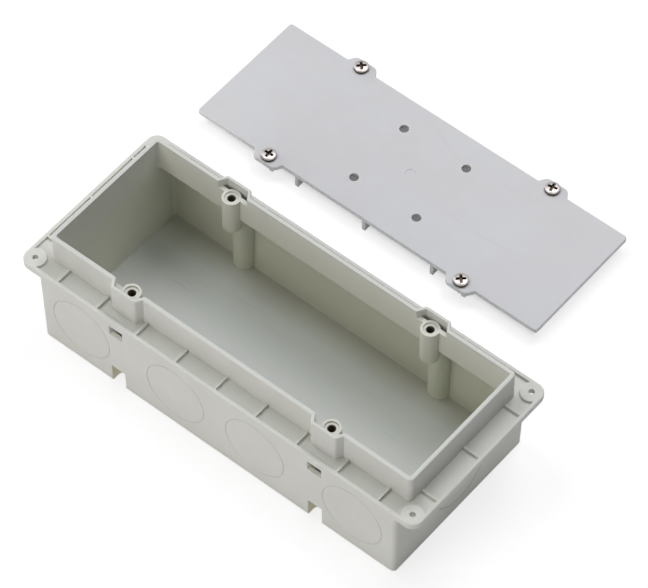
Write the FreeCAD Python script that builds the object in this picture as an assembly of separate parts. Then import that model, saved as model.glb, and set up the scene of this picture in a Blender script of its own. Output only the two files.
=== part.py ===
import FreeCAD, Part
import math
import os
from FreeCAD import Placement, Rotation, Vector

# Flush back box: one moulded box, its flat cover taken off and laid behind it, and four cover screws.
# Millimetres and degrees. Origin: middle of the box's underside. X runs along the box, Y towards the
# cover and Z up. The box is symmetric about the XZ and YZ planes.

# Opening and collar
OPENING_LENGTH = 220.4
OPENING_WIDTH = 75.8
OPENING_CORNER_RADIUS = 1.2
OVERALL_HEIGHT = 68.5
COLLAR_WALL = 2.2
COLLAR_CORNER_RADIUS = 2.6
COLLAR_EDGE_BEVEL = 0.4
INNER_DRAFT = 1.2

# Flange
FLANGE_TOP = 52.6
FLANGE_THICKNESS = 3.5
FLANGE_CORNER_RADIUS = 6.0
FLANGE_EDGE_BEVEL = 0.4
LONG_CHANNEL_WIDTH = 9.2
END_CHANNEL_WIDTH = 9.4
CHANNEL_DEPTH = 1.5
LIP_WIDTH = 2.0
LIP_OVERHANG = 0.9
RIB_THICKNESS = 1.2
LONG_RIB_PITCH = 25.0
END_RIB_PITCH = 31.4
FIXING_HOLE_DIAMETER = 3.0
FIXING_PAD_DIAMETER = 11.4

# Lower body
WALL = 2.2
FLOOR = 2.5
OUTER_DRAFT = 0.9
BODY_CORNER_RADIUS = 2.5
BODY_EDGE_BEVEL = 0.6
CHAMBER_CORNER_RADIUS = 2.0
CHAMBER_FLOOR_BEVEL = 0.5
CHAMBER_DRAFT = 2.2

# Screw bosses
BOSS_SPACING = 124.4
BOSS_INSET = 0.7
BOSS_DIAMETER = 9.8
BOSS_LENGTH = 22.4
THREAD_HOLE_DIAMETER = 3.9
THREAD_HOLE_FLOOR = 2.0
LEAD_IN_DIAMETER = 4.7
LEAD_IN_DEPTH = 0.4
COUNTERBORE_DIAMETER = 7.3
COUNTERBORE_DEPTH = 0.9

# Pockets that take the ears of the cover
POCKET_DEPTH = 4.7
POCKET_BASE_WIDTH = 19.6
POCKET_END_WIDTH = 14.8
POCKET_REACH = 3.8
POCKET_WALL = 1.6
POCKET_CORNER_RADIUS = 2.0

# Half-round columns below the bosses, with their windows and notches
COLUMN_DIAMETER = 11.2
COLUMN_DEPTH = 6.2
COLUMN_WALL = 1.3
WINDOW_HEIGHT = 6.5
WINDOW_DROP = 2.9
NOTCH_HEIGHT = 12.5

# Knockouts
KNOCKOUT_DIAMETER = 36.2
KNOCKOUT_HEIGHT = 25.9
INNER_KNOCKOUT_X = 25.0
OUTER_KNOCKOUT_X = 85.2
KNOCKOUT_GROOVE_WIDTH = 0.9
KNOCKOUT_GROOVE_DEPTH = 0.5

# Cover
COVER_THICKNESS = 2.5
COVER_END_CLEARANCE = 0.5
COVER_SIDE_CLEARANCE = 0.3
COVER_CORNER_RADIUS = 1.6
COVER_EDGE_BEVEL = 0.3
EAR_CLEARANCE = 0.3
EAR_CORNER_RADIUS = 3.6
SCREW_CLEARANCE = 0.4
COVER_HOLE_DIAMETER = 5.0
COVER_HOLE_SPACING = 40.5
GATE_MARK_DIAMETER = 5.0
GATE_MARK_DEPTH = 0.2
FINGER_PITCH = 43.75
FINGER_THICKNESS = 2.0
FINGER_LENGTH = 8.0
FINGER_HEIGHT = 7.0
PIP_LENGTH = 2.4
PIP_WIDTH = 1.2
PIP_HEIGHT = 1.2
COVER_CENTRE_X = -29.8
COVER_CENTRE_Y = 137.9

# Cover screws, M4 pan head with a cross recess
SCREW_DIAMETER = 3.9
SCREW_LENGTH = 8.0
HEAD_DIAMETER = 8.0
HEAD_HEIGHT = 2.5
HEAD_SIDE_HEIGHT = 1.9
HEAD_CROWN_INSET = 0.7
RECESS_SPAN = 5.0
RECESS_ARM_WIDTH = 1.4
RECESS_DEPTH = 1.7
RECESS_END_TAPER = 0.9
RECESS_SIDE_TAPER = 0.2
SCREW_TURNS = {
    "front_left": 45.0,
    "front_right": 0.0,
    "back_left": 10.0,
    "back_right": 25.0,
}

# Derived sizes
FLANGE_UNDERSIDE = FLANGE_TOP - FLANGE_THICKNESS
CHANNEL_FLOOR = FLANGE_TOP - CHANNEL_DEPTH
INNER_SLOPE = math.tan(math.radians(INNER_DRAFT))
OUTER_SLOPE = math.tan(math.radians(OUTER_DRAFT))
CHAMBER_SLOPE = math.tan(math.radians(CHAMBER_DRAFT))
COLLAR_HALF_LENGTH = OPENING_LENGTH / 2 + COLLAR_WALL
COLLAR_HALF_WIDTH = OPENING_WIDTH / 2 + COLLAR_WALL
FLANGE_HALF_LENGTH = COLLAR_HALF_LENGTH + END_CHANNEL_WIDTH + LIP_WIDTH
FLANGE_HALF_WIDTH = COLLAR_HALF_WIDTH + LONG_CHANNEL_WIDTH + LIP_WIDTH
BOSS_X = BOSS_SPACING / 2
BOSS_Y = OPENING_WIDTH / 2 - BOSS_INSET
POCKET_FLOOR = OVERALL_HEIGHT - POCKET_DEPTH
POCKET_SIDE_SLOPE = (POCKET_BASE_WIDTH - POCKET_END_WIDTH) / 2 / POCKET_REACH
POCKET_END_Y = COLLAR_HALF_WIDTH + POCKET_REACH
PATTERN_SIGNS = ((-1, -1), (1, -1), (-1, 1), (1, 1))
OVERCUT = 1.0


def inner_half_length(z):
    """Half length of the space inside at height z: the end walls are drafted in one plane."""
    return OPENING_LENGTH / 2 - (OVERALL_HEIGHT - z) * INNER_SLOPE


def throat_half_width(z):
    """Half width of the space inside the collar at height z."""
    return OPENING_WIDTH / 2 - (OVERALL_HEIGHT - z) * INNER_SLOPE


def long_wall_y(z):
    """Distance of the outer face of a long wall from the middle plane at height z."""
    return FLANGE_HALF_WIDTH - LIP_OVERHANG - (FLANGE_TOP - z) * OUTER_SLOPE


def chamber_half_width(z):
    """Half width of the wide space below the flange at height z. The walls thicken downwards."""
    return long_wall_y(FLANGE_UNDERSIDE) - WALL - (FLANGE_UNDERSIDE - z) * CHAMBER_SLOPE


def end_wall_x(z):
    """Distance of the outer face of an end wall from the middle plane at height z."""
    return inner_half_length(z) + WALL


def drafted_block(lower, upper, radius):
    """Block between two centred rectangles, each a half length, half width and height."""
    (low_x, low_y, low_z), (high_x, high_y, high_z) = lower, upper
    block = Part.makeWedge(-low_x, low_z, -low_y, -high_y, -high_x, low_x, high_z, low_y, high_y, high_x)
    block.rotate(Vector(0, 0, 0), Vector(1, 0, 0), 90)
    corners = [edge for edge in block.Edges if edge.BoundBox.ZLength > (high_z - low_z) / 2]
    return block.makeFillet(min(radius, 0.98 * min(low_x, low_y, high_x, high_y)), corners)


def straight_block(half_x, half_y, radius, z0, z1):
    """Centred block with upright sides and rounded corners."""
    return drafted_block((half_x, half_y, z0), (half_x, half_y, z1), radius)


def centred_box(x, y, size_x, size_y, z0, z1):
    """Upright box about the point x, y."""
    corner = Vector(x - size_x / 2, y - size_y / 2, z0)
    return Part.makeBox(size_x, size_y, z1 - z0, corner)


def prism(points, z0, z1):
    """Upright prism over a closed outline."""
    corners = [Vector(x, y, z0) for x, y in points]
    face = Part.Face(Part.makePolygon(corners + corners[:1]))
    return face.extrude(Vector(0, 0, z1 - z0))


def turned(profile):
    """Solid of revolution about the Z axis from a closed outline of radii and heights."""
    corners = [Vector(r, 0, z) for r, z in profile]
    outline = Part.Face(Part.makePolygon(corners + corners[:1]))
    return outline.revolve(Vector(0, 0, 0), Vector(0, 0, 1), 360)


def quadrants(shape, centre_x=0.0, centre_y=0.0):
    """The shape drawn at +X +Y, and its mirror images in the other three quadrants."""
    copies = []
    for sx, sy in PATTERN_SIGNS:
        copy = shape
        if sx < 0:
            copy = copy.mirror(Vector(centre_x, 0, 0), Vector(1, 0, 0))
        if sy < 0:
            copy = copy.mirror(Vector(0, centre_y, 0), Vector(0, 1, 0))
        copies.append(copy)
    return copies


def level_edges(shape, z):
    """Edges of a shape that lie wholly at height z."""
    return [edge for edge in shape.Edges
            if abs(edge.BoundBox.ZMin - z) < 1e-4 and abs(edge.BoundBox.ZMax - z) < 1e-4]


def upright_edges(shape):
    """Straight edges of a shape that run along Z."""
    return [edge for edge in shape.Edges
            if edge.BoundBox.XLength < 1e-4 and edge.BoundBox.YLength < 1e-4]


def pocket_outline(inset, root_y):
    """Outline of a pocket at +X +Y, set in from the bulge's outer face and open to root_y."""
    end_y = POCKET_END_Y - inset
    side_shift = inset * math.hypot(1.0, POCKET_SIDE_SLOPE)
    base_half = POCKET_BASE_WIDTH / 2 - side_shift
    end_half = base_half - (end_y - COLLAR_HALF_WIDTH) * POCKET_SIDE_SLOPE
    root_half = base_half + (COLLAR_HALF_WIDTH - root_y) * POCKET_SIDE_SLOPE
    return [
        (BOSS_X - root_half, root_y),
        (BOSS_X + root_half, root_y),
        (BOSS_X + end_half, end_y),
        (BOSS_X - end_half, end_y),
    ]


def lower_body():
    """Solid of the lower body, up to the underside of the flange."""
    bottom = (end_wall_x(0.0), long_wall_y(0.0), 0.0)
    top = (end_wall_x(FLANGE_UNDERSIDE), long_wall_y(FLANGE_UNDERSIDE), FLANGE_UNDERSIDE)
    body = drafted_block(bottom, top, BODY_CORNER_RADIUS)
    return body.makeChamfer(BODY_EDGE_BEVEL, level_edges(body, 0.0))


def flange():
    """Solid flange, drafted like the long walls. Its long sides stand out a little beyond them."""
    taper = FLANGE_THICKNESS * OUTER_SLOPE
    bottom = (FLANGE_HALF_LENGTH - taper, FLANGE_HALF_WIDTH - taper, FLANGE_UNDERSIDE)
    top = (FLANGE_HALF_LENGTH, FLANGE_HALF_WIDTH, FLANGE_TOP)
    plate = drafted_block(bottom, top, FLANGE_CORNER_RADIUS)
    return plate.makeChamfer(FLANGE_EDGE_BEVEL, level_edges(plate, FLANGE_TOP))


def collar():
    """Outer form of the collar with the four bulges of its pockets, solid inside."""
    ring = straight_block(COLLAR_HALF_LENGTH, COLLAR_HALF_WIDTH, COLLAR_CORNER_RADIUS,
                          FLANGE_UNDERSIDE, OVERALL_HEIGHT)
    bulge = prism(pocket_outline(0.0, COLLAR_HALF_WIDTH - COLLAR_WALL), FLANGE_UNDERSIDE, OVERALL_HEIGHT)
    outer = [edge for edge in upright_edges(bulge) if edge.BoundBox.YMin > COLLAR_HALF_WIDTH]
    bulge = bulge.makeFillet(POCKET_CORNER_RADIUS, outer)
    form = ring.fuse(quadrants(bulge)).removeSplitter()
    return form.makeChamfer(COLLAR_EDGE_BEVEL, level_edges(form, OVERALL_HEIGHT))


def rib_positions(pitch, reach):
    """Places of ribs at one pitch about the middle, within reach of it."""
    count = int(reach // pitch)
    return [index * pitch for index in range(-count, count + 1)]


def fixing_centre():
    """Centre of the fixing hole at +X +Y: the centre of the flange's rounded corner."""
    return FLANGE_HALF_LENGTH - FLANGE_CORNER_RADIUS, FLANGE_HALF_WIDTH - FLANGE_CORNER_RADIUS


def flange_channel(collar_form):
    """Cutter for the channel between collar and lip. It leaves the ribs and the corner pads."""
    top = FLANGE_TOP + OVERCUT
    cutter = straight_block(FLANGE_HALF_LENGTH - LIP_WIDTH, FLANGE_HALF_WIDTH - LIP_WIDTH,
                            FLANGE_CORNER_RADIUS - LIP_WIDTH, CHANNEL_FLOOR, top)
    keep = [collar_form]
    for x in rib_positions(LONG_RIB_PITCH, COLLAR_HALF_LENGTH):
        keep.append(centred_box(x, 0.0, RIB_THICKNESS, 2 * FLANGE_HALF_WIDTH, CHANNEL_FLOOR, top))
    for y in rib_positions(END_RIB_PITCH, COLLAR_HALF_WIDTH):
        keep.append(centred_box(0.0, y, 2 * FLANGE_HALF_LENGTH, RIB_THICKNESS, CHANNEL_FLOOR, top))
    x, y = fixing_centre()
    pad = Part.makeCylinder(FIXING_PAD_DIAMETER / 2, top - CHANNEL_FLOOR, Vector(x, y, CHANNEL_FLOOR))
    return cutter.cut(keep + quadrants(pad))


def chamber(z0):
    """Wide space below the flange, from height z0 up to the flange's underside."""
    bottom = (inner_half_length(z0), chamber_half_width(z0), z0)
    top = (inner_half_length(FLANGE_UNDERSIDE), chamber_half_width(FLANGE_UNDERSIDE), FLANGE_UNDERSIDE)
    return drafted_block(bottom, top, CHAMBER_CORNER_RADIUS)


def cavity():
    """Space inside: the wide chamber and a narrower throat through the collar."""
    wide = chamber(FLOOR)
    wide = wide.makeChamfer(CHAMBER_FLOOR_BEVEL, level_edges(wide, FLOOR))
    low = FLANGE_UNDERSIDE - OVERCUT
    high = OVERALL_HEIGHT + OVERCUT
    throat = drafted_block((inner_half_length(low), throat_half_width(low), low),
                           (inner_half_length(high), throat_half_width(high), high), OPENING_CORNER_RADIUS)
    return wide.fuse(throat)


def pocket_cutters():
    """Ear seats cut down from the collar's top, and the gap behind the lowered wall."""
    seat = prism(pocket_outline(POCKET_WALL, BOSS_Y), POCKET_FLOOR, OVERALL_HEIGHT + OVERCUT)
    slot_floor = FLANGE_TOP + POCKET_WALL
    slot = prism(pocket_outline(POCKET_WALL, COLLAR_HALF_WIDTH), slot_floor, POCKET_FLOOR + OVERCUT)
    return quadrants(seat) + quadrants(slot)


def boss():
    """Screw boss at +X +Y."""
    bottom = POCKET_FLOOR - BOSS_LENGTH
    return Part.makeCylinder(BOSS_DIAMETER / 2, BOSS_LENGTH, Vector(BOSS_X, BOSS_Y, bottom))


def boss_hole():
    """Hole of the boss at +X +Y, with its lead-in and counterbore, as one turned cutter."""
    seat = POCKET_FLOOR - COUNTERBORE_DEPTH
    profile = [
        (0, POCKET_FLOOR - BOSS_LENGTH + THREAD_HOLE_FLOOR),
        (THREAD_HOLE_DIAMETER / 2, POCKET_FLOOR - BOSS_LENGTH + THREAD_HOLE_FLOOR),
        (THREAD_HOLE_DIAMETER / 2, seat - LEAD_IN_DEPTH),
        (LEAD_IN_DIAMETER / 2, seat),
        (COUNTERBORE_DIAMETER / 2, seat),
        (COUNTERBORE_DIAMETER / 2, POCKET_FLOOR + OVERCUT),
        (0, POCKET_FLOOR + OVERCUT),
    ]
    cutter = turned(profile)
    cutter.translate(Vector(BOSS_X, BOSS_Y, 0))
    return cutter


def column_centre_y():
    """Centre of the half-round nose of a column, at +Y."""
    return chamber_half_width(FLOOR) - COLUMN_DEPTH + COLUMN_DIAMETER / 2


def nosed_prism(radius, outer_y, z0, z1):
    """U-shaped prism at +X +Y: a round nose towards the middle and straight sides out to outer_y."""
    centre_y = column_centre_y()
    left = Vector(BOSS_X - radius, centre_y, z0)
    right = Vector(BOSS_X + radius, centre_y, z0)
    nose = Vector(BOSS_X, centre_y - radius, z0)
    out_right = Vector(BOSS_X + radius, outer_y, z0)
    out_left = Vector(BOSS_X - radius, outer_y, z0)
    outline = Part.Wire([
        Part.Arc(left, nose, right).toShape(),
        Part.LineSegment(right, out_right).toShape(),
        Part.LineSegment(out_right, out_left).toShape(),
        Part.LineSegment(out_left, left).toShape(),
    ])
    return Part.Face(outline).extrude(Vector(0, 0, z1 - z0))


def column():
    """Solid column at +X +Y, from the floor to the underside of the flange."""
    outer_y = chamber_half_width(FLANGE_UNDERSIDE) + WALL / 2
    return nosed_prism(COLUMN_DIAMETER / 2, outer_y, FLOOR / 2, FLANGE_UNDERSIDE + OVERCUT)


def column_bore():
    """Hollow of a column with its window under the flange and its notch at the bottom edge."""
    radius = COLUMN_DIAMETER / 2 - COLUMN_WALL
    window_top = FLANGE_UNDERSIDE - WINDOW_DROP
    beyond = FLANGE_HALF_WIDTH + OVERCUT
    full = nosed_prism(radius, beyond, -OVERCUT, window_top)
    hollow = full.common(chamber(-OVERCUT))
    window = nosed_prism(radius, beyond, window_top - WINDOW_HEIGHT, window_top)
    notch = nosed_prism(radius, beyond, -OVERCUT, NOTCH_HEIGHT)
    return hollow.fuse([window, notch])


def knockout_groove(place):
    """Round V groove in a wall. The wall's outward normal is the place's local Z."""
    radius = KNOCKOUT_DIAMETER / 2
    spread = KNOCKOUT_GROOVE_WIDTH / 2 * (1 + OVERCUT / KNOCKOUT_GROOVE_DEPTH)
    section = [
        Vector(radius, 0, -KNOCKOUT_GROOVE_DEPTH),
        Vector(radius + spread, 0, OVERCUT),
        Vector(radius - spread, 0, OVERCUT),
    ]
    face = Part.Face(Part.makePolygon(section + section[:1]))
    ring = face.revolve(Vector(0, 0, 0), Vector(0, 0, 1), 360)
    ring.Placement = place.multiply(ring.Placement)
    return ring


def knockout_grooves():
    """Grooves of the eight side knockouts and the two end knockouts."""
    grooves = []
    side_y = long_wall_y(KNOCKOUT_HEIGHT)
    for side in (-1, 1):
        tilt = Rotation(Vector(1, 0, 0), -side * (90.0 + OUTER_DRAFT))
        for x in (-OUTER_KNOCKOUT_X, -INNER_KNOCKOUT_X, INNER_KNOCKOUT_X, OUTER_KNOCKOUT_X):
            grooves.append(knockout_groove(Placement(Vector(x, side * side_y, KNOCKOUT_HEIGHT), tilt)))
        turn = Rotation(Vector(0, 1, 0), side * (90.0 + INNER_DRAFT))
        end_x = side * end_wall_x(KNOCKOUT_HEIGHT)
        grooves.append(knockout_groove(Placement(Vector(end_x, 0, KNOCKOUT_HEIGHT), turn)))
    return grooves


def make_back_box():
    """The box as one moulding."""
    collar_form = collar()
    form = lower_body().fuse([flange(), collar_form])
    form = form.cut(flange_channel(collar_form))
    form = form.cut(cavity())
    form = form.cut(pocket_cutters())
    form = form.fuse(quadrants(boss()) + quadrants(column()))
    x, y = fixing_centre()
    fixing = Part.makeCylinder(FIXING_HOLE_DIAMETER / 2, FLANGE_TOP + OVERCUT, Vector(x, y, 0))
    cutters = quadrants(boss_hole()) + quadrants(column_bore()) + quadrants(fixing)
    form = form.cut(cutters + knockout_grooves())
    return form.removeSplitter()


def cover_half_sizes():
    """Half length and half width of the cover's plate, clear of the opening where the plate seats."""
    return (inner_half_length(POCKET_FLOOR) - COVER_END_CLEARANCE,
            throat_half_width(POCKET_FLOOR) - COVER_SIDE_CLEARANCE)


def make_cover():
    """The cover in the box's frame, seated on the pocket floors, before it is laid aside."""
    bottom = POCKET_FLOOR
    top = bottom + COVER_THICKNESS
    half_length, half_width = cover_half_sizes()
    plate = straight_block(half_length, half_width, COVER_CORNER_RADIUS, bottom, top)
    ear = prism(pocket_outline(POCKET_WALL + EAR_CLEARANCE, half_width - LIP_WIDTH), bottom, top)
    tips = [edge for edge in upright_edges(ear) if edge.BoundBox.YMin > COLLAR_HALF_WIDTH]
    ear = ear.makeFillet(EAR_CORNER_RADIUS, tips)
    plate = plate.fuse(quadrants(ear)).removeSplitter()
    plate = plate.makeChamfer(COVER_EDGE_BEVEL, level_edges(plate, top))

    finger = centred_box(0.0, half_width - FINGER_LENGTH / 2, FINGER_THICKNESS, FINGER_LENGTH,
                         bottom - FINGER_HEIGHT, bottom + COVER_THICKNESS / 2)
    fingers = []
    for x in (-FINGER_PITCH, 0.0, FINGER_PITCH):
        moved = finger.copy()
        moved.translate(Vector(x, 0, 0))
        fingers += [moved, moved.mirror(Vector(0, 0, 0), Vector(0, 1, 0))]

    slot_y = (COLLAR_HALF_WIDTH + POCKET_END_Y - POCKET_WALL) / 2
    pip_x = BOSS_X + BOSS_DIAMETER / 2
    pip = centred_box(pip_x, -slot_y, PIP_LENGTH, PIP_WIDTH, bottom - PIP_HEIGHT, bottom + COVER_THICKNESS / 2)
    pips = []
    for shift in (0.0, -BOSS_SPACING):
        moved = pip.copy()
        moved.translate(Vector(shift, 0, 0))
        turned = moved.copy()
        turned.rotate(Vector(0, 0, 0), Vector(0, 0, 1), 180)
        pips += [moved, turned]
    cover = plate.fuse(fingers + pips)

    reach = COVER_THICKNESS + 2 * OVERCUT
    low = bottom - OVERCUT
    screw_hole = Part.makeCylinder((SCREW_DIAMETER + SCREW_CLEARANCE) / 2, reach, Vector(BOSS_X, BOSS_Y, low))
    half = COVER_HOLE_SPACING / 2
    round_hole = Part.makeCylinder(COVER_HOLE_DIAMETER / 2, reach, Vector(half, half, low))
    mark = Part.makeCylinder(GATE_MARK_DIAMETER / 2, OVERCUT, Vector(0, 0, top - GATE_MARK_DEPTH))
    return cover.cut(quadrants(screw_hole) + quadrants(round_hole) + [mark]).removeSplitter()


def recess():
    """Cross recess cutter: two crossed arms that narrow towards the recess floor."""
    cutter = []
    floor_span = RECESS_SPAN - 2 * RECESS_END_TAPER
    floor_width = RECESS_ARM_WIDTH - 2 * RECESS_SIDE_TAPER
    for along_x in (True, False):
        lower = (floor_span / 2, floor_width / 2) if along_x else (floor_width / 2, floor_span / 2)
        upper = (RECESS_SPAN / 2, RECESS_ARM_WIDTH / 2) if along_x else (RECESS_ARM_WIDTH / 2, RECESS_SPAN / 2)
        arm = Part.makeWedge(-lower[0], HEAD_HEIGHT - RECESS_DEPTH, -lower[1], -upper[1], -upper[0],
                             lower[0], HEAD_HEIGHT, lower[1], upper[1], upper[0])
        arm.rotate(Vector(0, 0, 0), Vector(1, 0, 0), 90)
        cutter.append(arm)
    return cutter


def make_screw(turn):
    """Pan-head screw on the Z axis with the underside of its head at height zero."""
    head_r = HEAD_DIAMETER / 2
    shank_r = SCREW_DIAMETER / 2
    profile = [
        (0, -SCREW_LENGTH),
        (shank_r, -SCREW_LENGTH),
        (shank_r, 0),
        (head_r, 0),
        (head_r, HEAD_SIDE_HEIGHT),
        (head_r - HEAD_CROWN_INSET, HEAD_HEIGHT),
        (0, HEAD_HEIGHT),
    ]
    screw = turned(profile).cut(recess())
    screw.rotate(Vector(0, 0, 0), Vector(0, 0, 1), turn)
    return screw


def lay_aside(shape):
    """Move a piece of the cover from its seat in the box to where the cover lies on its fingers."""
    drop = FINGER_HEIGHT - POCKET_FLOOR
    moved = shape.copy()
    moved.translate(Vector(COVER_CENTRE_X, COVER_CENTRE_Y, drop))
    return moved


def make_parts():
    """Every piece by its node's name, in place."""
    parts = {"back_box": make_back_box(), "cover_plate": lay_aside(make_cover())}
    places = dict(zip(("front_left", "front_right", "back_left", "back_right"), PATTERN_SIGNS))
    for name, (sx, sy) in places.items():
        screw = make_screw(SCREW_TURNS[name])
        screw.translate(Vector(sx * BOSS_X, sy * BOSS_Y, POCKET_FLOOR + COVER_THICKNESS))
        parts["cover_screw_" + name] = lay_aside(screw)
    return parts


os.makedirs("parts", exist_ok=True)
for node, shape in make_parts().items():
    shape.exportStep("parts/" + node + ".step")
    box = shape.BoundBox
    print(node, "valid", shape.isValid(), "solids", len(shape.Solids), "volume", round(shape.Volume, 1),
          "x", round(box.XMin, 2), round(box.XMax, 2), "y", round(box.YMin, 2), round(box.YMax, 2),
          "z", round(box.ZMin, 2), round(box.ZMax, 2))
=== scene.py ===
"""Dressed scene of a flush back box, its cover taken off and laid behind it, and four cover screws.

Metres and degrees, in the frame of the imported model: X along the box, Y towards the cover, Z up.
"""
import logging
import math
from dataclasses import dataclass, field
from enum import Enum
from typing import Optional

import bpy
import numpy as np
from mathutils import Matrix, Vector


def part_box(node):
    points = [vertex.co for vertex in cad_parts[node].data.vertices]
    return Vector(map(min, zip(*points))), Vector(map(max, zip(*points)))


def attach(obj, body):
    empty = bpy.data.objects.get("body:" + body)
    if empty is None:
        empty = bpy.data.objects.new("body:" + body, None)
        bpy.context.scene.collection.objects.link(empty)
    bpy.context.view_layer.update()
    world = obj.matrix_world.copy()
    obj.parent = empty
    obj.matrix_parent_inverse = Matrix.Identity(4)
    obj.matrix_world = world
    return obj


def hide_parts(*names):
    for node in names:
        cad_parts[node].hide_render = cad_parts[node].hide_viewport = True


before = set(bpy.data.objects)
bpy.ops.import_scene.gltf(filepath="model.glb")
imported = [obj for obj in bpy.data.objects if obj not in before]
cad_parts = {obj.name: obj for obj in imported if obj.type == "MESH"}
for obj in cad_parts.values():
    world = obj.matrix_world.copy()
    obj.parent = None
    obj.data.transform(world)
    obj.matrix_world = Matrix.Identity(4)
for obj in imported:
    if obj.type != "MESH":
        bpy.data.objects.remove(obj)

LOG = logging.getLogger("back_box")
MM = 0.001

Array = np.ndarray
Colour = tuple[float, float, float]
Place = tuple[float, float, float]
Span = tuple[float, float]

WHITE: Colour = (1.0, 1.0, 1.0)
FULL: Span = (0.0, 1.0)
SMOOTH_ANGLE = math.radians(35.0)


def millimetres(x: float, y: float, z: float) -> Place:
    """A place or three half sizes in metres, given in millimetres."""
    return (x * MM, y * MM, z * MM)


def linear(red: float, green: float, blue: float) -> Colour:
    """Turns a display colour into the linear colour that a shader takes.

    A share of 0.04045 or less is divided by 12.92. Any other is (share + 0.055) / 1.055 to the power
    of 2.4.

    Args:
        red: red, in steps of 0 to 255.
        green: green, in the same steps.
        blue: blue, in the same steps.

    Returns:
        The linear colour, each share from 0 to 1.
    """
    shares = np.array([red, green, blue]) / 255.0
    low, high = shares / 12.92, ((shares + 0.055) / 1.055) ** 2.4
    return tuple(float(value) for value in np.where(shares <= 0.04045, low, high))


COVER_MIDDLE: Place = millimetres(-29.8, 137.9, 0.0)


class Corner(Enum):
    """Corners of the cover, each the signs of its X and Y."""

    FRONT_LEFT = (-1, -1)
    FRONT_RIGHT = (1, -1)
    BACK_LEFT = (-1, 1)
    BACK_RIGHT = (1, 1)

    @property
    def node(self) -> str:
        """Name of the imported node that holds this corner's screw."""
        return "cover_screw_" + self.name.lower()


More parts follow.
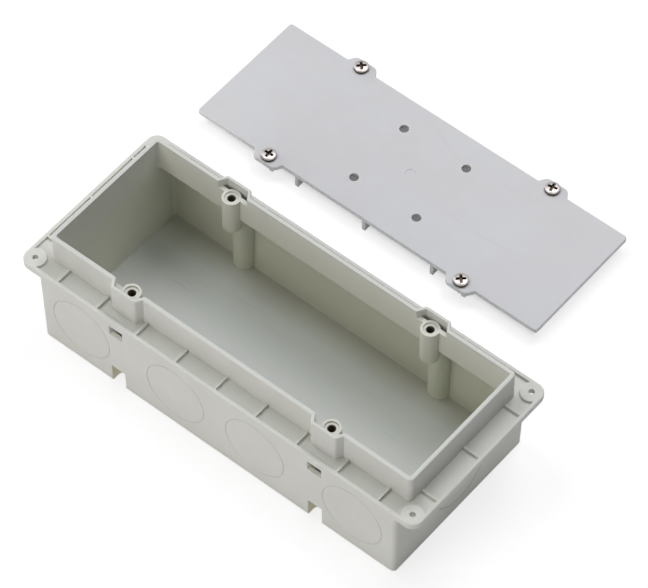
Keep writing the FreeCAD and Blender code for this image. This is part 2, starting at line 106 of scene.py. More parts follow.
class NodeSheet:
    """Shader sheet of one material or world, with short calls for the nodes that the finishes share."""

    def __init__(self, tree: bpy.types.NodeTree) -> None:
        """Empties the tree.

        Args:
            tree: the node tree to fill.
        """
        self.tree = tree
        tree.nodes.clear()

    def add(self, kind: str, **settings: object) -> bpy.types.Node:
        """Adds a node and sets its properties.

        Args:
            kind: the node's type, without the leading "ShaderNode".
            settings: properties of the node.

        Returns:
            The new node.
        """
        node = self.tree.nodes.new("ShaderNode" + kind)
        for name, value in settings.items():
            setattr(node, name, value)
        return node

    def join(self, source: bpy.types.NodeSocket, target: bpy.types.NodeSocket) -> None:
        """Links two sockets."""
        self.tree.links.new(source, target)

    def place(self, centre: Place = (0.0, 0.0, 0.0)) -> bpy.types.NodeSocket:
        """Object coordinates in metres, measured from a centre.

        Args:
            centre: the point that the coordinates start from.

        Returns:
            The vector socket.
        """
        coordinates = self.add("TexCoord")
        mapping = self.add("Mapping")
        mapping.inputs["Location"].default_value = tuple(-value for value in centre)
        self.join(coordinates.outputs["Object"], mapping.inputs["Vector"])
        return mapping.outputs["Vector"]

    def math(self, operation: str, first: bpy.types.NodeSocket,
             second: float | bpy.types.NodeSocket = 0.0) -> bpy.types.NodeSocket:
        """Works on one or two values.

        Args:
            operation: the operation's name.
            first: the first value.
            second: the second value, a constant or a socket.

        Returns:
            The resulting value.
        """
        node = self.add("Math", operation=operation)
        self.join(first, node.inputs[0])
        if isinstance(second, float):
            node.inputs[1].default_value = second
        else:
            self.join(second, node.inputs[1])
        return node.outputs[0]

    def vector(self, operation: str, first: bpy.types.NodeSocket,
               second: Place = (0.0, 0.0, 0.0)) -> bpy.types.NodeSocket:
        """Works on a vector, with a constant where the operation takes two.

        Args:
            operation: the operation's name.
            first: the vector.
            second: the constant.

        Returns:
            The resulting vector.
        """
        node = self.add("VectorMath", operation=operation)
        self.join(first, node.inputs[0])
        if operation != "ABSOLUTE":
            node.inputs[1].default_value = second
        return node.outputs["Vector"]

    def noise(self, vector: bpy.types.NodeSocket, grain: float, detail: float = 2.0,
              roughness: float = 0.5) -> bpy.types.NodeSocket:
        """Noise whose lumps are about one grain across.

        Args:
            vector: the coordinates.
            grain: size of a lump in metres.
            detail: octaves.
            roughness: weight of the finer octaves.

        Returns:
            The noise, from 0 to 1.
        """
        node = self.add("TexNoise")
        node.inputs["Scale"].default_value = 1.0 / grain
        node.inputs["Detail"].default_value = detail
        node.inputs["Roughness"].default_value = roughness
        self.join(vector, node.inputs["Vector"])
        return node.outputs["Fac"]

    def remap(self, value: bpy.types.NodeSocket, source: Span, target: Span) -> bpy.types.NodeSocket:
        """Maps a value from one range to another, held inside the second.

        Args:
            value: the value's socket.
            source: the range it comes from.
            target: the range it goes to.

        Returns:
            The mapped value.
        """
        node = self.add("MapRange", clamp=True)
        self.join(value, node.inputs["Value"])
        numbers = dict(zip(("From Min", "From Max", "To Min", "To Max"), source + target))
        for name, number in numbers.items():
            node.inputs[name].default_value = number
        return node.outputs["Result"]

    def tint(self, weight: bpy.types.NodeSocket, first: Colour | bpy.types.NodeSocket,
             second: Colour | bpy.types.NodeSocket) -> bpy.types.NodeSocket:
        """Blends from one colour to another, each a constant or a socket.

        Args:
            weight: 0 for the first colour, 1 for the second.
            first: the first colour.
            second: the second colour.

        Returns:
            The blended colour.
        """
        node = self.add("Mix", data_type="RGBA")
        self.join(weight, node.inputs[0])
        for colour, target in ((first, node.inputs[6]), (second, node.inputs[7])):
            if isinstance(colour, tuple):
                target.default_value = (*colour, 1.0)
            else:
                self.join(colour, target)
        return node.outputs[2]

    def bump(self, height: bpy.types.NodeSocket, depth: float,
             normal: Optional[bpy.types.NodeSocket] = None) -> bpy.types.NodeSocket:
        """Bumps a normal by a height.

        Args:
            height: the height, from 0 to 1.
            depth: height of a full step in metres.
            normal: the normal to start from.

        Returns:
            The bumped normal.
        """
        node = self.add("Bump")
        node.inputs["Distance"].default_value = depth
        self.join(height, node.inputs["Height"])
        if normal is not None:
            self.join(normal, node.inputs["Normal"])
        return node.outputs["Normal"]

    def diffuse(self, share: float) -> bpy.types.NodeSocket:
        """Matt grey that gives back a share of the light.

        Args:
            share: the share, from 0 to 1.

        Returns:
            The shader.
        """
        node = self.add("BsdfDiffuse")
        node.inputs["Color"].default_value = (share, share, share, 1.0)
        return node.outputs[0]

    def background(self, strength: float) -> bpy.types.NodeSocket:
        """White light of a world.

        Args:
            strength: its strength.

        Returns:
            The shader.
        """
        node = self.add("Background")
        node.inputs["Color"].default_value = (*WHITE, 1.0)
        node.inputs["Strength"].default_value = strength
        return node.outputs[0]

    def choose(self, weight: bpy.types.NodeSocket, first: bpy.types.NodeSocket,
               second: bpy.types.NodeSocket) -> bpy.types.NodeSocket:
        """Mixes two shaders.

        Args:
            weight: 0 for the first shader, 1 for the second.
            first: the first shader.
            second: the second shader.

        Returns:
            The mixed shader.
        """
        node = self.add("MixShader")
        for source, target in zip((weight, first, second), node.inputs):
            self.join(source, target)
        return node.outputs[0]

    def sees_background(self) -> bpy.types.NodeSocket:
        """Tells the rays that look at the room from those that light it.

        Returns:
            1 for a ray from the camera, from a gloss or through glass, otherwise 0.
        """
        path = self.add("LightPath")
        first = self.math("MAXIMUM", path.outputs["Is Camera Ray"], path.outputs["Is Glossy Ray"])
        return self.math("MAXIMUM", first, path.outputs["Is Transmission Ray"])

    def show(self, shader: bpy.types.NodeSocket, kind: str = "OutputMaterial") -> None:
        """Makes a shader the surface of the material, or of the world for the kind OutputWorld."""
        self.join(shader, self.add(kind).inputs["Surface"])


def new_material(name: str) -> tuple[bpy.types.Material, NodeSheet]:
    """Makes an empty material.

    Args:
        name: its name.

    Returns:
        The material and the shader sheet to fill.
    """
    material = bpy.data.materials.new(name)
    material.use_nodes = True
    return material, NodeSheet(material.node_tree)


@dataclass(frozen=True)
class Zone:
    """Block of space, alike in each quarter of a piece, in which the surface takes another colour, for
    marks and for painted light and shade.

    Attributes:
        centre: its middle in the quarter at plus X and plus Y.
        half: half its width, depth and height.
        colour: the colour in it.
        fade: share of the half sizes over which the colour fades out.
        streak: colour of faint lines along X in it, where it has them.
        streak_width: width of a line.
        streak_stretch: scale of the lines' noise along each axis. A small one draws them out.
        streak_span: range of the noise over which a line comes in.
    """

    centre: Place
    half: Place
    colour: Colour
    fade: float = 0.03
    streak: Optional[Colour] = None
    streak_width: float = 0.9 * MM
    streak_stretch: Place = (0.03, 1.0, 1.0)
    streak_span: Span = (0.66, 0.84)

    def share(self, sheet: NodeSheet, place: bpy.types.NodeSocket) -> bpy.types.NodeSocket:
        """1 inside the zone and 0 outside it.

        The distances from the middle are divided by the half sizes, and the greatest decides.

        Args:
            sheet: the shader sheet.
            place: coordinates from the piece's middle.

        Returns:
            The share.
        """
        quarter = sheet.vector("ABSOLUTE", place)
        apart = sheet.vector("ABSOLUTE", sheet.vector("SUBTRACT", quarter, self.centre))
        ratio = sheet.add("SeparateXYZ")
        sheet.join(sheet.vector("DIVIDE", apart, self.half), ratio.inputs[0])
        most = sheet.math("MAXIMUM", ratio.outputs[0], ratio.outputs[1])
        most = sheet.math("MAXIMUM", most, ratio.outputs[2])
        return sheet.remap(most, (1.0 - self.fade, 1.0), (1.0, 0.0))

    def blend(self, sheet: NodeSheet, place: bpy.types.NodeSocket,
              colour: bpy.types.NodeSocket) -> bpy.types.NodeSocket:
        """Lays the zone's colour over another.

        Args:
            sheet: the shader sheet.
            place: coordinates from the piece's middle.
            colour: the colour outside the zone.

        Returns:
            The blended colour.
        """
        inner = self.colour
        if self.streak is not None:
            drawn_out = sheet.vector("MULTIPLY", place, self.streak_stretch)
            lines = sheet.remap(sheet.noise(drawn_out, self.streak_width, 1.0), self.streak_span, FULL)
            inner = sheet.tint(lines, self.colour, self.streak)
        return sheet.tint(self.share(sheet, place), colour, inner)


@dataclass(frozen=True)
class MouldedPlastic:
    """Satin moulded plastic: cloudy colour, faint flow streaks, fine tool grain and softened edges.

    Attributes:
        name: the material's name.
        colour: main colour.
        pale: colour of the palest clouds.
        dusk: colour of the darkest clouds and of the meeting lines.
        roughness: roughness between its grains.
        edge_radius: radius that light sees on an edge.
        grain: size of the tool's grain.
        depth: how far red, green and blue light sinks in.
        sunk: share of the light that sinks in.
        centre: the point the pattern is measured from.
        zones: zones of another colour, for marks and for painted light and shade, each laid over the
            ones before it.
        flow: strength of the faint lines where the flowing plastic met.
        cloud_size: size of the wide clouds.
        cloud_span: range of their noise over which the main colour comes in.
        veil_size: size of the small clouds.
        veil_span: range of their noise over which the pale colour comes in.
        veil_strength: share of the pale colour in the palest cloud.
        peel_size: size of the surface's slight waves.
        peel_depth: depth of the waves.
        grain_depth: depth of the tool's grain.
        gloss_span: range of the small clouds' noise over which the roughness changes.
        gloss_change: what is added to the roughness at the two ends of that range.
        line_size: size of the noise that the meeting lines follow.
        line_stretch: scale of that noise along each axis.
        line_span: distances from the noise's middle at which a line is full and gone.
        gap_size: size of the noise that lets the lines show.
        gap_span: range of that noise over which they come in.
    """

    name: str
    colour: Colour
    pale: Colour
    dusk: Colour
    roughness: float
    edge_radius: float
    grain: float
    depth: Place
    sunk: float
    centre: Place = (0.0, 0.0, 0.0)
    zones: tuple[Zone, ...] = ()
    flow: float = 0.0
    cloud_size: float = 38.0 * MM
    cloud_span: Span = (0.35, 0.7)
    veil_size: float = 9.0 * MM
    veil_span: Span = (0.5, 0.8)
    veil_strength: float = 0.4
    peel_size: float = 2.4 * MM
    peel_depth: float = 0.012 * MM
    grain_depth: float = 0.006 * MM
    gloss_span: Span = (0.2, 0.8)
    gloss_change: Span = (-0.05, 0.06)
    line_size: float = 55.0 * MM
    line_stretch: Place = (0.45, 1.0, 1.0)
    line_span: Span = (0.002, 0.016)
    gap_size: float = 21.0 * MM
    gap_span: Span = (0.48, 0.6)

    def material(self) -> bpy.types.Material:
        """Builds the material.

        Returns:
            The material, its colour, roughness and normal worked out from object coordinates.
        """
        material, sheet = new_material(self.name)
        place = sheet.place(self.centre)

        clouds = sheet.noise(place, self.cloud_size, 3.0)
        colour = sheet.tint(sheet.remap(clouds, self.cloud_span, FULL), self.dusk, self.colour)
        veil = sheet.noise(place, self.veil_size, 4.0, 0.6)
        paleness = sheet.remap(veil, self.veil_span, (0.0, self.veil_strength))
        colour = sheet.tint(paleness, colour, self.pale)
        colour = sheet.tint(self.meeting_lines(sheet, place), colour, self.dusk)
        for zone in self.zones:
            colour = zone.blend(sheet, place, colour)

        grain = sheet.noise(place, self.grain, 2.0, 0.6)
        peel = sheet.noise(place, self.peel_size, 1.0)
        rounded = sheet.add("Bevel", samples=6)
        rounded.inputs["Radius"].default_value = self.edge_radius
        normal = sheet.bump(peel, self.peel_depth, rounded.outputs["Normal"])
        normal = sheet.bump(grain, self.grain_depth, normal)

        shader = sheet.add("BsdfPrincipled")
        shader.inputs["IOR"].default_value = 1.5
        shader.inputs["Specular IOR Level"].default_value = 0.4
        shader.inputs["Subsurface Weight"].default_value = self.sunk
        shader.inputs["Subsurface Radius"].default_value = self.depth
        shader.inputs["Subsurface Scale"].default_value = 1.0
        least, most = (self.roughness + change for change in self.gloss_change)
        sheet.join(colour, shader.inputs["Base Color"])
        sheet.join(sheet.remap(veil, self.gloss_span, (least, most)), shader.inputs["Roughness"])
        sheet.join(normal, shader.inputs["Normal"])
        sheet.show(shader.outputs["BSDF"])
        return material

    def meeting_lines(self, sheet: NodeSheet, place: bpy.types.NodeSocket) -> bpy.types.NodeSocket:
        """Faint winding lines, where a wide noise crosses its middle and a second one lets it show.

        Args:
            sheet: the shader sheet.
            place: coordinates from the piece's centre.

        Returns:
            The lines' strength, 0 beside them.
        """
        wide = sheet.noise(sheet.vector("MULTIPLY", place, self.line_stretch), self.line_size, 1.0)
        apart = sheet.math("ABSOLUTE", sheet.math("SUBTRACT", wide, 0.5))
        line = sheet.remap(apart, self.line_span, (self.flow, 0.0))
        shown = sheet.remap(sheet.noise(place, self.gap_size, 1.0), self.gap_span, FULL)
        return sheet.math("MULTIPLY", line, shown)


@dataclass(frozen=True)
class PlatedSteel:
    """Bright plated steel with fine handling marks, with painted shade in the recess and a painted dark
    reflection down the head's side.

    Attributes:
        name: the material's name.
        colour: colour of the plating.
        dull: colour of the plating's stains.
        painted_shade_colour: colour of the painted shade in the recess and of the painted dark
            reflection down the head's side.
        roughness: roughness of the bright plating.
        stain_size: size of a stain.
        stain_span: range of the stains' noise over which they come in.
        stain_strength: share of the dull colour in the deepest stain.
        mark_size: size of the handling marks.
        mark_span: range of the marks' noise over which the roughness changes.
        mark_depth: depth of the marks.
        gloss_change: what is added to the roughness at the two ends of that range.
    """

    name: str
    colour: Colour
    dull: Colour
    painted_shade_colour: Colour
    roughness: float
    stain_size: float = 1.6 * MM
    stain_span: Span = (0.5, 0.75)
    stain_strength: float = 0.25
    mark_size: float = 0.22 * MM
    mark_span: Span = (0.3, 0.7)
    mark_depth: float = 0.004 * MM
    gloss_change: Span = (-0.05, 0.09)

    def material(self) -> bpy.types.Material:
        """Builds the material.

        Returns:
            The material, worked out from object coordinates and the painted shade written on the mesh.
        """
        material, sheet = new_material(self.name)
        place = sheet.place()
        stains = sheet.noise(place, self.stain_size, 3.0)
        stained = sheet.remap(stains, self.stain_span, (0.0, self.stain_strength))
        colour = sheet.tint(stained, self.colour, self.dull)
        # Painted shade in the recess and a painted dark reflection down the head's side, read from the
        # mesh.
        painted_shade = sheet.add("Attribute", attribute_name="painted_shade")
        colour = sheet.tint(painted_shade.outputs["Fac"], colour, self.painted_shade_colour)

        marks = sheet.noise(place, self.mark_size, 3.0, 0.65)
        shader = sheet.add("BsdfPrincipled")
        shader.inputs["Metallic"].default_value = 1.0
        least, most = (self.roughness + change for change in self.gloss_change)
        sheet.join(colour, shader.inputs["Base Color"])
        sheet.join(sheet.remap(marks, self.mark_span, (least, most)), shader.inputs["Roughness"])
        sheet.join(sheet.bump(marks, self.mark_depth), shader.inputs["Normal"])
        sheet.show(shader.outputs["BSDF"])
        return material


@dataclass(frozen=True)
class DressedPart:
    """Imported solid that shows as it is, in a finish of its own.

    Attributes:
        node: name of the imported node.
        finish: its plastic.
    """

    node: str
    finish: MouldedPlastic

    def dress(self) -> bpy.types.Object:
        """Puts the finish on every slot of the node.

        Returns:
            The node's object.
        """
        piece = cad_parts[self.node]
        material = self.finish.material()
        if not piece.material_slots:
            piece.data.materials.append(material)
        for slot in piece.material_slots:
            slot.material = material
        return piece


@dataclass(frozen=True)
class Housing(DressedPart):
    """The moulded box."""

    node: str = "back_box"
    finish: MouldedPlastic = MouldedPlastic(
        name="box_plastic",
        colour=linear(206, 207, 200),
        pale=linear(212, 213, 207),
        dusk=linear(202, 203, 195),
        roughness=0.46,
        edge_radius=0.5 * MM,
        grain=0.35 * MM,
        depth=millimetres(1.5, 1.5, 1.2),
        sunk=0.5,
        zones=(
            # The floor, with faint lines along the box.
            Zone(millimetres(0, 0, 2.5), millimetres(112, 49.5, 0.4), linear(205, 208, 202),
                 streak=linear(191, 194, 188)),
            # The walls of the chamber under the flange, tinted olive: painted colour of the light
            # bounced round the shaded inside.
            Zone(millimetres(0, 0, 26.2), millimetres(112, 49.5, 23.2), linear(207, 208, 193)),
            # The walls of the throat, inside the collar, tinted warmer and a little paler: painted
            # colour of the light bounced round the shaded inside.
            Zone(millimetres(0, 0, 58), millimetres(112, 39.2, 9), linear(208, 208, 197), fade=0.04),
            # Painted shade: the floor made darker at its foot along the long walls, where the walls
            # shade it.
            Zone(millimetres(0, 48, 2.5), millimetres(300, 18, 0.4), linear(184, 184, 170), fade=0.9),
            # Painted shade: the holes in the bosses made dark, as the shade deep in them.
            Zone(millimetres(62.2, 37.2, 51.9), millimetres(2.45, 2.45, 11), linear(100, 95, 80)),
            # Painted light: the hollow behind the windows under the flange made paler, to stand for
            # light reaching into it.
            Zone(millimetres(62.2, 46.55, 40.3), millimetres(4.9, 3.45, 6.3), linear(243, 243, 236)),
            # Painted light: the hollow faces of the notches in the bottom edge made paler and warmer,
            # to stand for bounced light in them.
            Zone(millimetres(62.2, 46.3, 6), millimetres(4.9, 3.2, 6.6), linear(228, 224, 200)),
            # Painted shade: the collar rim's top made darker and greener than the body, to offset the
            # bright bluish light that falls on it.
            Zone(millimetres(0, 0, 68.7), millimetres(300, 300, 0.7), linear(201, 203, 196), fade=0.5),
        ),
    )


@dataclass(frozen=True)
class Cover(DressedPart):
    """The flat cover, laid behind the box."""

    node: str = "cover_plate"
    finish: MouldedPlastic = MouldedPlastic(
        name="cover_plastic",
        colour=linear(205, 206, 206),
        pale=linear(208, 209, 210),
        dusk=linear(203, 203, 203),
        roughness=0.42,
        edge_radius=0.35 * MM,
        grain=0.3 * MM,
        depth=millimetres(1.2, 1.2, 1.0),
        sunk=0.5,
        centre=COVER_MIDDLE,
        zones=(
            # The gate mark in the middle.
            Zone(millimetres(0, 0, 9), millimetres(2.4, 2.4, 6), linear(194, 194, 195), fade=0.9),
            # Painted light: the plate's side, short of its upper edge, made paler than the top, to
            # lighten its shaded faces.
            Zone(millimetres(0, 0, 8.1), millimetres(300, 300, 1.25), linear(212, 213, 213), fade=0.12),
        ),
        flow=1.0,
    )


@dataclass(frozen=True)
class CoverScrew:
    """M4 pan-head screw with a cross recess, standing in an ear of the cover.

    All sizes are in metres. Heights are measured from the underside of the head.

    Attributes:
        corner: the corner of the cover that it stands in.
        turn: its turn about its axis, in degrees.
        head_radius: radius of the head.
        head_height: height of the head on its axis.
        side_height: height of the head's upright side.
        foot_round: rounding between the side and the underside.
        side_lines: rows of points up the side, with its two ends.
        foot_lines: rows of points round the rounding.
        crown_flat: power that keeps the crown flat in the middle.
        crown_round: root that rounds the crown at the rim.
        recess_span: length of the cross from end to end.
        arm_width: width of an arm.
        recess_depth: depth of the recess.
        end_slope: length over which an arm's end falls to full depth.
        arm_slope: width over which an arm's side falls to full depth.
        thread_radius: outer radius of the thread.
        thread_depth: depth of the thread.
        thread_gain: steepness of the thread's flanks.
        thread_root: share of the wave that is cut off for a flat root.
        pitch: pitch of the thread.
        pitch_lines: rows of points to a turn of the thread.
        length: length of the shank.
        tip_inset: how far the tip is narrower than the shank.
        tip_height: height over which it narrows.
        field_half: half the width of the square grid on the head.
        field_lines: even lines of that grid.
        rim_lines: lines between the square and the rim.
        rim_ease: power that crowds those lines towards the rim.
        recess_shade_gain: how fast the painted shade deepens down the recess.
        side_shade_share: share of the side's height over which the painted dark reflection deepens.
        shank_shade: painted shade of the shank, from 0 to 1.
    """

    corner: Corner
    turn: float
    head_radius: float = 4.0 * MM
    head_height: float = 2.5 * MM
    side_height: float = 1.6 * MM
    foot_round: float = 0.25 * MM
    side_lines: int = 4
    foot_lines: int = 5
    crown_flat: float = 2.6
    crown_round: float = 1.9
    recess_span: float = 5.4 * MM
    arm_width: float = 1.55 * MM
    recess_depth: float = 1.7 * MM
    end_slope: float = 0.85 * MM
    arm_slope: float = 0.22 * MM
    thread_radius: float = 1.95 * MM
    thread_depth: float = 0.36 * MM
    thread_gain: float = 1.6
    thread_root: float = 0.3
    pitch: float = 0.7 * MM
    pitch_lines: int = 10
    length: float = 8.0 * MM
    tip_inset: float = 0.25 * MM
    tip_height: float = 0.4 * MM
    field_half: float = 2.8 * MM
    field_lines: int = 27
    rim_lines: int = 9
    rim_ease: float = 0.85
    recess_shade_gain: float = 2.5
    side_shade_share: float = 0.3
    shank_shade: float = 0.4

    def crown(self, radius: Array) -> Array:
        """Height of the domed head over a distance from its axis.

        The crown is a flat ellipse: height = side + rise * (1 - (r / R) ^ flat) ^ (1 / round).

        Args:
            radius: distances from the axis.

        Returns:
            Heights, the side's height at the rim and the head's height on the axis.
        """
        share = np.clip(radius / self.head_radius, 0.0, 1.0)
        rise = self.head_height - self.side_height
        return self.side_height + rise * (1.0 - share ** self.crown_flat) ** (1.0 / self.crown_round)

    def arm(self, along: Array, across: Array) -> Array:
        """Share of the full depth that one arm of the recess has.

        It is the lesser of two ramps, one in from the arm's ends and one in from its sides, held
        between 0 and 1.

        Args:
            along: places along the arm.
            across: places across it.

        Returns:
            Shares, 0 outside the arm.
        """
        ends = (self.recess_span / 2 - np.abs(along)) / self.end_slope
        sides = (self.arm_width / 2 - np.abs(across)) / self.arm_slope
        return np.clip(np.minimum(ends, sides), 0.0, 1.0)

    def recess(self, x: Array, y: Array) -> Array:
        """Depth of the cross recess below the crown, the greater of its two arms.

        Args:
            x: places along the first arm.
            y: places along the second arm.

        Returns:
            Depths, 0 outside the recess.
        """
        return self.recess_depth * np.maximum(self.arm(x, y), self.arm(y, x))

    def top_lines(self) -> Array:
        """Grid lines of the head's top: even ones, and one at each bend of the recess's ramps.

        Returns:
            Line numbers from -2 to 2. From -1 to 1 they cross the square field, and from there to 2
            they are equal steps to the rim.
        """
        half = self.field_half
        even = np.linspace(-half, half, self.field_lines)
        bends = np.array([self.recess_span / 2, self.recess_span / 2 - self.end_slope,
                          self.arm_width / 2, self.arm_width / 2 - self.arm_slope])
        inner = np.unique(np.round(np.concatenate([even, bends, -bends]), 7)) / half
        outer = 1.0 + np.arange(1, self.rim_lines + 1) / self.rim_lines
        return np.concatenate([-outer[::-1], inner, outer])

    def top_points(self) -> Array:
        """Points of the head's top on a square grid that is drawn out to the round rim.

        Inside the field the grid is square. Outside it a point moves in a straight line from the
        field's edge to the rim as its line number goes from 1 to 2, and its height is the crown's
        height less the recess's depth.

        Returns:
            Points as rows, columns, 3.
        """
        lines = self.top_lines()
        u, v = np.meshgrid(lines, lines)
        reach = np.maximum(np.abs(u), np.abs(v))
        scale = np.where(reach > 1.0, 1.0 / np.maximum(reach, 1e-9), 1.0)
        square_x, square_y = u * scale * self.field_half, v * scale * self.field_half
        angle = np.arctan2(square_y, square_x)
        share = np.clip(reach - 1.0, 0.0, 1.0) ** self.rim_ease
        x = square_x + (self.head_radius * np.cos(angle) - square_x) * share
        y = square_y + (self.head_radius * np.sin(angle) - square_y) * share
        z = self.crown(np.hypot(x, y)) - self.recess(x, y)
        return np.stack([x, y, z], axis=-1)

    def flank(self) -> tuple[Array, Array]:
        """Radius and height of the head's side and underside, from the rim to the shank.

        The side goes straight down, turns in over a quarter circle and runs level to the shank.

        Returns:
            Radii and heights.
        """
        turn = np.linspace(0.0, math.pi / 2, self.foot_lines)
        round_r = self.head_radius - self.foot_round + self.foot_round * np.cos(turn)
        round_z = self.foot_round - self.foot_round * np.sin(turn)
        side_z = np.linspace(self.side_height, self.foot_round, self.side_lines)[1:-1]
        side_r = np.full_like(side_z, self.head_radius)
        radii = np.concatenate([side_r, round_r, [self.thread_radius]])
        heights = np.concatenate([side_z, round_z, [0.0]])
        return radii, heights

    def shank_points(self, angles: Array) -> Array:
        """Points of the threaded shank, from the head's underside to the tip's edge.

        The radius is the thread's outer radius less its depth times a triangle wave of turns, where
        turns = height / pitch + angle / full circle. The thread runs out over half a pitch at the tip,
        and the tip narrows in a straight line.

        Args:
            angles: angle of each column.

        Returns:
            Points as rows, columns, 3.
        """
        rows = int(round(self.length / self.pitch * self.pitch_lines))
        depth = np.linspace(0.0, self.length, rows + 1)[1:, None]
        turns = depth / self.pitch + angles[None, :] / (2 * math.pi)
        wave = 1.0 - np.abs(2.0 * (turns % 1.0) - 1.0)
        crest = np.clip(self.thread_gain * wave - self.thread_root, 0.0, 1.0)
        run_out = np.clip(np.minimum(depth, self.length - depth) / (0.5 * self.pitch), 0.0, 1.0)
        cut = np.where(depth < self.pitch, 1.0, run_out)
        narrowing = 1.0 - np.clip((self.length - depth) / self.tip_height, 0.0, 1.0)
        radius = self.thread_radius - self.thread_depth * (1.0 - crest * cut)
        radius = radius - self.tip_inset * narrowing
        return np.stack([radius * np.cos(angles), radius * np.sin(angles),
                         np.broadcast_to(-depth, radius.shape)], axis=-1)

    def sleeve_points(self, angles: Array) -> Array:
        """Points of all that hangs below the rim: the head's side and underside, and the shank.

        Args:
            angles: angle of each column.

        Returns:
            Points as rows, columns, 3.
        """
        radii, heights = self.flank()
        flank = np.stack([radii[:, None] * np.cos(angles), radii[:, None] * np.sin(angles),
                          np.broadcast_to(heights[:, None], (len(radii), len(angles)))], axis=-1)
        return np.concatenate([flank, self.shank_points(angles)])

    def faces(self, grid: Array, rim: Array, rows: int) -> tuple[Array, Array]:
        """Faces of the closed screw: the top's grid, the sleeve hung from its rim, and the tip.

        Args:
            grid: point numbers of the top, as rows and columns.
            rim: point numbers round the top's edge.
            rows: rows of points in the sleeve.

        Returns:
            The four-cornered faces, and the fan of triangles that closes the tip.
        """
        apex = grid.size + rows * len(rim)
        rings = np.vstack([rim[None, :], np.arange(grid.size, apex).reshape(rows, len(rim))])
        quads = [quad_faces(grid), quad_faces(np.hstack([rings, rings[:, :1]])[::-1])]
        last = rings[-1]
        fan = np.stack([np.roll(last, -1), last, np.full_like(last, apex)], axis=-1)
        return np.vstack(quads), fan

    def painted_shade(self, top: Array, columns: int, rows: int) -> Array:
        """Painted shade at each point: deep in the recess, a painted dark reflection deepening down the
        head's side, and even shade on the shank.

        Args:
            top: points of the head's top.
            columns: columns of points in the sleeve.
            rows: rows of points in the sleeve.

        Returns:
            Painted shade from 0 to 1, for the top, the sleeve and the tip.
        """
        sunk = self.recess(top[:, 0], top[:, 1]) / self.recess_depth
        heights = self.flank()[1]
        side = np.clip((self.side_height - heights) / (self.side_shade_share * self.side_height), 0.0, 1.0)
        shank_count = (rows - len(heights)) * columns + 1
        return np.concatenate([np.clip(sunk * self.recess_shade_gain, 0.0, 1.0), np.repeat(side, columns),
                               np.full(shank_count, self.shank_shade)])

    def stand(self, points: Array, node_box: tuple[Vector, Vector]) -> Array:
        """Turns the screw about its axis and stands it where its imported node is.

        Args:
            points: points of the screw about its own axis.
            node_box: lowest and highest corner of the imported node.

        Returns:
            The points in their place.
        """
        low, high = np.array(node_box[0]), np.array(node_box[1])
        centre = (low + high) / 2
        seat = np.array([centre[0], centre[1], high[2] - self.head_height])
        spin = math.radians(self.turn)
        matrix = np.array([[math.cos(spin), -math.sin(spin), 0.0],
                           [math.sin(spin), math.cos(spin), 0.0],
                           [0.0, 0.0, 1.0]])
        return points @ matrix.T + seat

    def build(self, finish: PlatedSteel, node_box: tuple[Vector, Vector]) -> bpy.types.Object:
        """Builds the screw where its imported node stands.

        Args:
            finish: the plating.
            node_box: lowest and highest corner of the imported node.

        Returns:
            The screw's object, which replaces the node.
        """
        top = self.top_points()
        count = top.shape[0]
        grid = np.arange(count * count).reshape(count, count)
        rim = np.concatenate([grid[0, :-1], grid[:-1, -1], grid[-1, :0:-1], grid[:0:-1, 0]])
        top = top.reshape(-1, 3)
        sleeve = self.sleeve_points(np.arctan2(top[rim, 1], top[rim, 0]))
        tip = np.array([[0.0, 0.0, -self.length]])
        points = self.stand(np.vstack([top, sleeve.reshape(-1, 3), tip]), node_box)

        quads, fan = self.faces(grid, rim, len(sleeve))
        piece = mesh_object(self.corner.node + "_detailed", points, quads, fan)
        # Painted shade and painted dark reflection, written on the points for the plating's material.
        painted_shade = self.painted_shade(top, len(rim), len(sleeve))
        piece.data.attributes.new("painted_shade", "FLOAT", "POINT").data.foreach_set("value", painted_shade)
        piece.data.materials.append(finish.material())
        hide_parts(self.corner.node)
        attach(piece, "root")
        return piece


@dataclass(frozen=True)
class ScrewSet:
    """The four cover screws, each turned as it was left.

    Attributes:
        turns: each screw's turn about its axis, in degrees.
        finish: the plating of all four.
    """

    turns: dict[Corner, float] = field(default_factory=lambda: {
        Corner.FRONT_LEFT: 2.0,
        Corner.FRONT_RIGHT: 42.0,
        Corner.BACK_LEFT: 45.0,
        Corner.BACK_RIGHT: 12.0,
    })
    finish: PlatedSteel = PlatedSteel(
        name="screw_steel",
        colour=linear(170, 165, 161),
        dull=linear(148, 143, 139),
        # Colour of the painted shade in the recess and the painted dark reflection on the head's side.
        painted_shade_colour=linear(82, 70, 58),
        roughness=0.34,
    )

    def build(self) -> list[bpy.types.Object]:
        """Builds the screws.

        Returns:
            Their objects.
        """
        return [CoverScrew(corner, turn).build(self.finish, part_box(corner.node))
                for corner, turn in self.turns.items()]


@dataclass(frozen=True)
class SoftLamp:
    """Large soft lamp that faces the box.

    Attributes:
        name: the lamp's name.
        azimuth: angle round the box, from the front towards the right end.
        elevation: angle above the table.
        strength: its power, in watts.
        colour: its colour.
        size: its width and height.
        distance: from the lamp to the point it faces.
    """

    name: str
    azimuth: float
    elevation: float
    strength: float
    colour: Colour
    size: float = 0.8
    distance: float = 1.8

    def hang(self, target: Vector) -> bpy.types.Object:
        """Hangs the lamp and turns it to face a point.

        Args:
            target: the point.

        Returns:
            The lamp's object.
        """
        data = bpy.data.lights.new(self.name, "AREA")
        data.shape = "SQUARE"
        data.size = self.size
        data.energy = self.strength
        data.color = self.colour
        lamp = bpy.data.objects.new(self.name, data)
        bpy.context.scene.collection.objects.link(lamp)
        outward = direction(self.azimuth, self.elevation)
        turn = outward.to_track_quat("Z", "Y").to_matrix().to_4x4()
        lamp.matrix_world = Matrix.Translation(target + self.distance * outward) @ turn
        return lamp


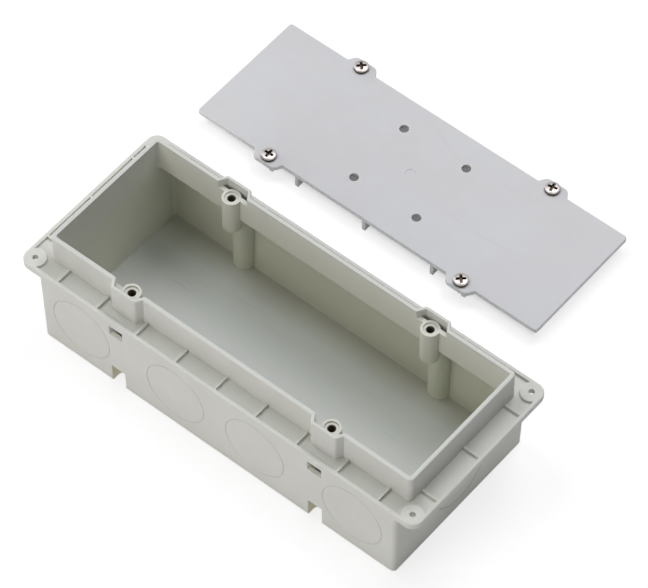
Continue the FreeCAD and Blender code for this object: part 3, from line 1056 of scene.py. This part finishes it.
@dataclass(frozen=True)
class Studio:
    """White table under soft lamps, and the open white room round it.

    Attributes:
        table_radius: radius of the round table.
        table_height: height of its top, a little under the object.
        table_corners: corners of its outline.
        table_colour: share of the light that it gives back to the object.
        seen_colour: the same share where it is looked at.
        seen_glow: its own light where it is looked at near the object.
        open_air: distances from the object over which that light rises to full.
        object_middle: the point on the table that those distances start from.
        cover_half: half the length and width of the painted shadow under the cover, where the ground
            glows less.
        cover_edge: width over which that painted shadow fades out.
        glow_in_cover_shadow: share of the glow that is left in the painted shadow.
        room_light: strength of the room's even light.
        lamp_target: the point that the lamps face.
        lamps: the lamps.
    """

    table_radius: float = 5.0
    table_height: float = -0.02 * MM
    table_corners: int = 96
    table_colour: float = 0.8
    seen_colour: float = 0.34
    seen_glow: float = 0.74
    open_air: Span = (0.3, 0.9)
    object_middle: Place = millimetres(-10, 40, 0)
    cover_half: Span = (98.0 * MM, 27.0 * MM)
    cover_edge: float = 9.0 * MM
    glow_in_cover_shadow: float = 0.2
    room_light: float = 0.12
    lamp_target: Place = millimetres(-10, 40, 30)
    lamps: tuple[SoftLamp, ...] = (
        SoftLamp("lamp_high_back", 180.0, 63.0, 15.2, (0.95, 0.93, 1.0)),
        SoftLamp("lamp_high_left", 270.0, 63.0, 9.0, (0.92, 0.95, 1.0)),
        SoftLamp("lamp_high_right", 90.0, 63.0, 2.7, (0.93, 0.98, 1.0)),
        SoftLamp("lamp_front", 337.0, 38.0, 6.0, (1.0, 0.96, 0.86)),
        SoftLamp("lamp_low_front", 0.0, 12.0, 9.0, (0.97, 0.93, 1.0)),
        SoftLamp("lamp_low_left", 270.0, 12.0, 8.0, (0.98, 0.95, 1.0)),
    )

    def build(self) -> None:
        """Lays the table, opens the room and hangs the lamps."""
        self.lay_table()
        self.open_room()
        for lamp in self.lamps:
            lamp.hang(Vector(self.lamp_target))

    def lay_table(self) -> bpy.types.Object:
        """Lays the round white table.

        The table is a ring of points at one radius and its middle. Seen directly it glows towards
        white, fully so away from the object, and it keeps the object's shadow.

        Returns:
            The table's object.
        """
        angles = np.linspace(0.0, 2 * math.pi, self.table_corners + 1)[:-1]
        ring = np.stack([self.table_radius * np.cos(angles), self.table_radius * np.sin(angles),
                         np.full_like(angles, self.table_height)], axis=-1)
        points = np.vstack([[[0.0, 0.0, self.table_height]], ring])
        around = np.arange(1, len(angles) + 1)
        fan = np.stack([np.zeros_like(around), around, np.roll(around, -1)], axis=-1)
        table = mesh_object("table", points, np.empty((0, 4), dtype=int), fan)
        table.data.materials.append(self.table_material())
        return table

    def table_material(self) -> bpy.types.Material:
        """Builds the table's white.

        Returns:
            The material, open from below so that the underside of the object can be seen.
        """
        material, sheet = new_material("table_white")
        lit = sheet.diffuse(self.table_colour)
        seen = sheet.add("AddShader")
        sheet.join(sheet.diffuse(self.seen_colour), seen.inputs[0])
        sheet.join(self.glow(sheet), seen.inputs[1])
        above = sheet.choose(sheet.sees_background(), lit, seen.outputs[0])
        from_below = sheet.add("NewGeometry").outputs["Backfacing"]
        clear = sheet.add("BsdfTransparent").outputs[0]
        sheet.show(sheet.choose(from_below, above, clear))
        return material

    def glow(self, sheet: NodeSheet) -> bpy.types.NodeSocket:
        """Light of the table's own: full away from the object, less beside it, and least under the
        cover, where it leaves a painted shadow.

        Args:
            sheet: the table's shader sheet.

        Returns:
            The shader.
        """
        distance = sheet.add("VectorMath", operation="LENGTH")
        sheet.join(sheet.place(self.object_middle), distance.inputs[0])
        beside_object = sheet.remap(distance.outputs["Value"], self.open_air, (self.seen_glow, 1.0))
        strength = sheet.math("MULTIPLY", beside_object, self.outside_cover_shadow(sheet))
        glow = sheet.add("Emission")
        sheet.join(strength, glow.inputs["Strength"])
        return glow.outputs[0]

    def outside_cover_shadow(self, sheet: NodeSheet) -> bpy.types.NodeSocket:
        """Painted shadow under the cover: small on the table under the middle of the cover, 1 beside
        it.

        Args:
            sheet: the table's shader sheet.

        Returns:
            The share, the greater of two ramps that rise outwards along X and along Y.
        """
        split = sheet.add("SeparateXYZ")
        sheet.join(sheet.place(COVER_MIDDLE), split.inputs["Vector"])
        ramps = []
        for axis, half in zip(("X", "Y"), self.cover_half):
            apart = sheet.math("ABSOLUTE", split.outputs[axis])
            ramps.append(sheet.remap(apart, (half, half + self.cover_edge), (self.glow_in_cover_shadow, 1.0)))
        return sheet.math("MAXIMUM", *ramps)

    def open_room(self) -> None:
        """Gives the room its even light, and white where it is seen."""
        world = bpy.data.worlds.new("room")
        world.use_nodes = True
        bpy.context.scene.world = world
        sheet = NodeSheet(world.node_tree)
        light, white = sheet.background(self.room_light), sheet.background(1.0)
        sheet.show(sheet.choose(sheet.sees_background(), light, white), "OutputWorld")


@dataclass(frozen=True)
class Viewpoint:
    """Camera at the photograph's place.

    Attributes:
        azimuth: angle of the camera round the object, from the front towards the right end.
        elevation: angle above the table.
        roll: turn of the camera about its own line of sight.
        distance: from the camera to the point it looks at.
        lens: focal length in millimetres.
        sensor: width of the film in millimetres.
        clip: least and greatest distance that it sees.
        target: the point it looks at.
    """

    azimuth: float = 39.331
    elevation: float = 53.776
    roll: float = 0.127
    distance: float = 2.15
    lens: float = 242.8
    sensor: float = 36.0
    clip: Span = (0.05, 50.0)
    target: Place = millimetres(-8.01, 42.56, 25)

    def place(self) -> bpy.types.Object:
        """Places the camera and makes it the scene's camera.

        Returns:
            The camera's object.
        """
        back = direction(self.azimuth, self.elevation)
        roll = math.radians(self.roll)
        right = Vector((0.0, 0.0, 1.0)).cross(back).normalized()
        above = back.cross(right)
        turned_right = math.cos(roll) * right + math.sin(roll) * above
        turned_above = -math.sin(roll) * right + math.cos(roll) * above
        data = bpy.data.cameras.new("camera")
        data.lens = self.lens
        data.sensor_fit = "HORIZONTAL"
        data.sensor_width = self.sensor
        data.clip_start, data.clip_end = self.clip
        camera = bpy.data.objects.new("camera", data)
        bpy.context.scene.collection.objects.link(camera)
        turn = Matrix((turned_right, turned_above, back)).transposed().to_4x4()
        camera.matrix_world = Matrix.Translation(Vector(self.target) + self.distance * back) @ turn
        bpy.context.scene.camera = camera
        return camera


def direction(azimuth: float, elevation: float) -> Vector:
    """Unit vector that points away from the object.

    Args:
        azimuth: angle round the box, from the front towards its right end.
        elevation: angle above the table.

    Returns:
        The vector.
    """
    round_angle, up_angle = math.radians(azimuth), math.radians(elevation)
    level = math.cos(up_angle)
    return Vector((level * math.sin(round_angle), -level * math.cos(round_angle), math.sin(up_angle)))


def quad_faces(grid: Array) -> Array:
    """Four-cornered faces between the neighbours of an index grid, turned to face up."""
    around = [grid[:-1, :-1], grid[:-1, 1:], grid[1:, 1:], grid[1:, :-1]]
    return np.stack(around, axis=-1).reshape(-1, 4)


def mesh_object(name: str, points: Array, quads: Array, triangles: Array) -> bpy.types.Object:
    """Makes an object at the origin from points and faces, shaded smooth but for its sharp edges.

    Args:
        name: the object's name.
        points: points as rows of x, y, z.
        quads: point numbers of the four-cornered faces.
        triangles: point numbers of the triangles.

    Returns:
        The object, linked to the scene.
    """
    mesh = bpy.data.meshes.new(name)
    mesh.from_pydata(points.tolist(), [], quads.tolist() + triangles.tolist())
    mesh.validate()
    mesh.shade_smooth()
    mesh.set_sharp_from_angle(angle=SMOOTH_ANGLE)
    piece = bpy.data.objects.new(name, mesh)
    bpy.context.scene.collection.objects.link(piece)
    return piece


def main() -> None:
    """Builds the scene in order and reports each piece."""
    logging.basicConfig(level=logging.INFO, format="%(name)s: %(message)s")
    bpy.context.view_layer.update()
    bpy.context.scene.view_settings.view_transform = "Standard"
    Viewpoint().place()
    Studio().build()
    for part in (Housing(), Cover()):
        piece = part.dress()
        LOG.info("%s dressed, %d faces", piece.name, len(piece.data.polygons))
    for piece in ScrewSet().build():
        LOG.info("%s built, %d faces", piece.name, len(piece.data.polygons))


if __name__ == "__main__":
    main()
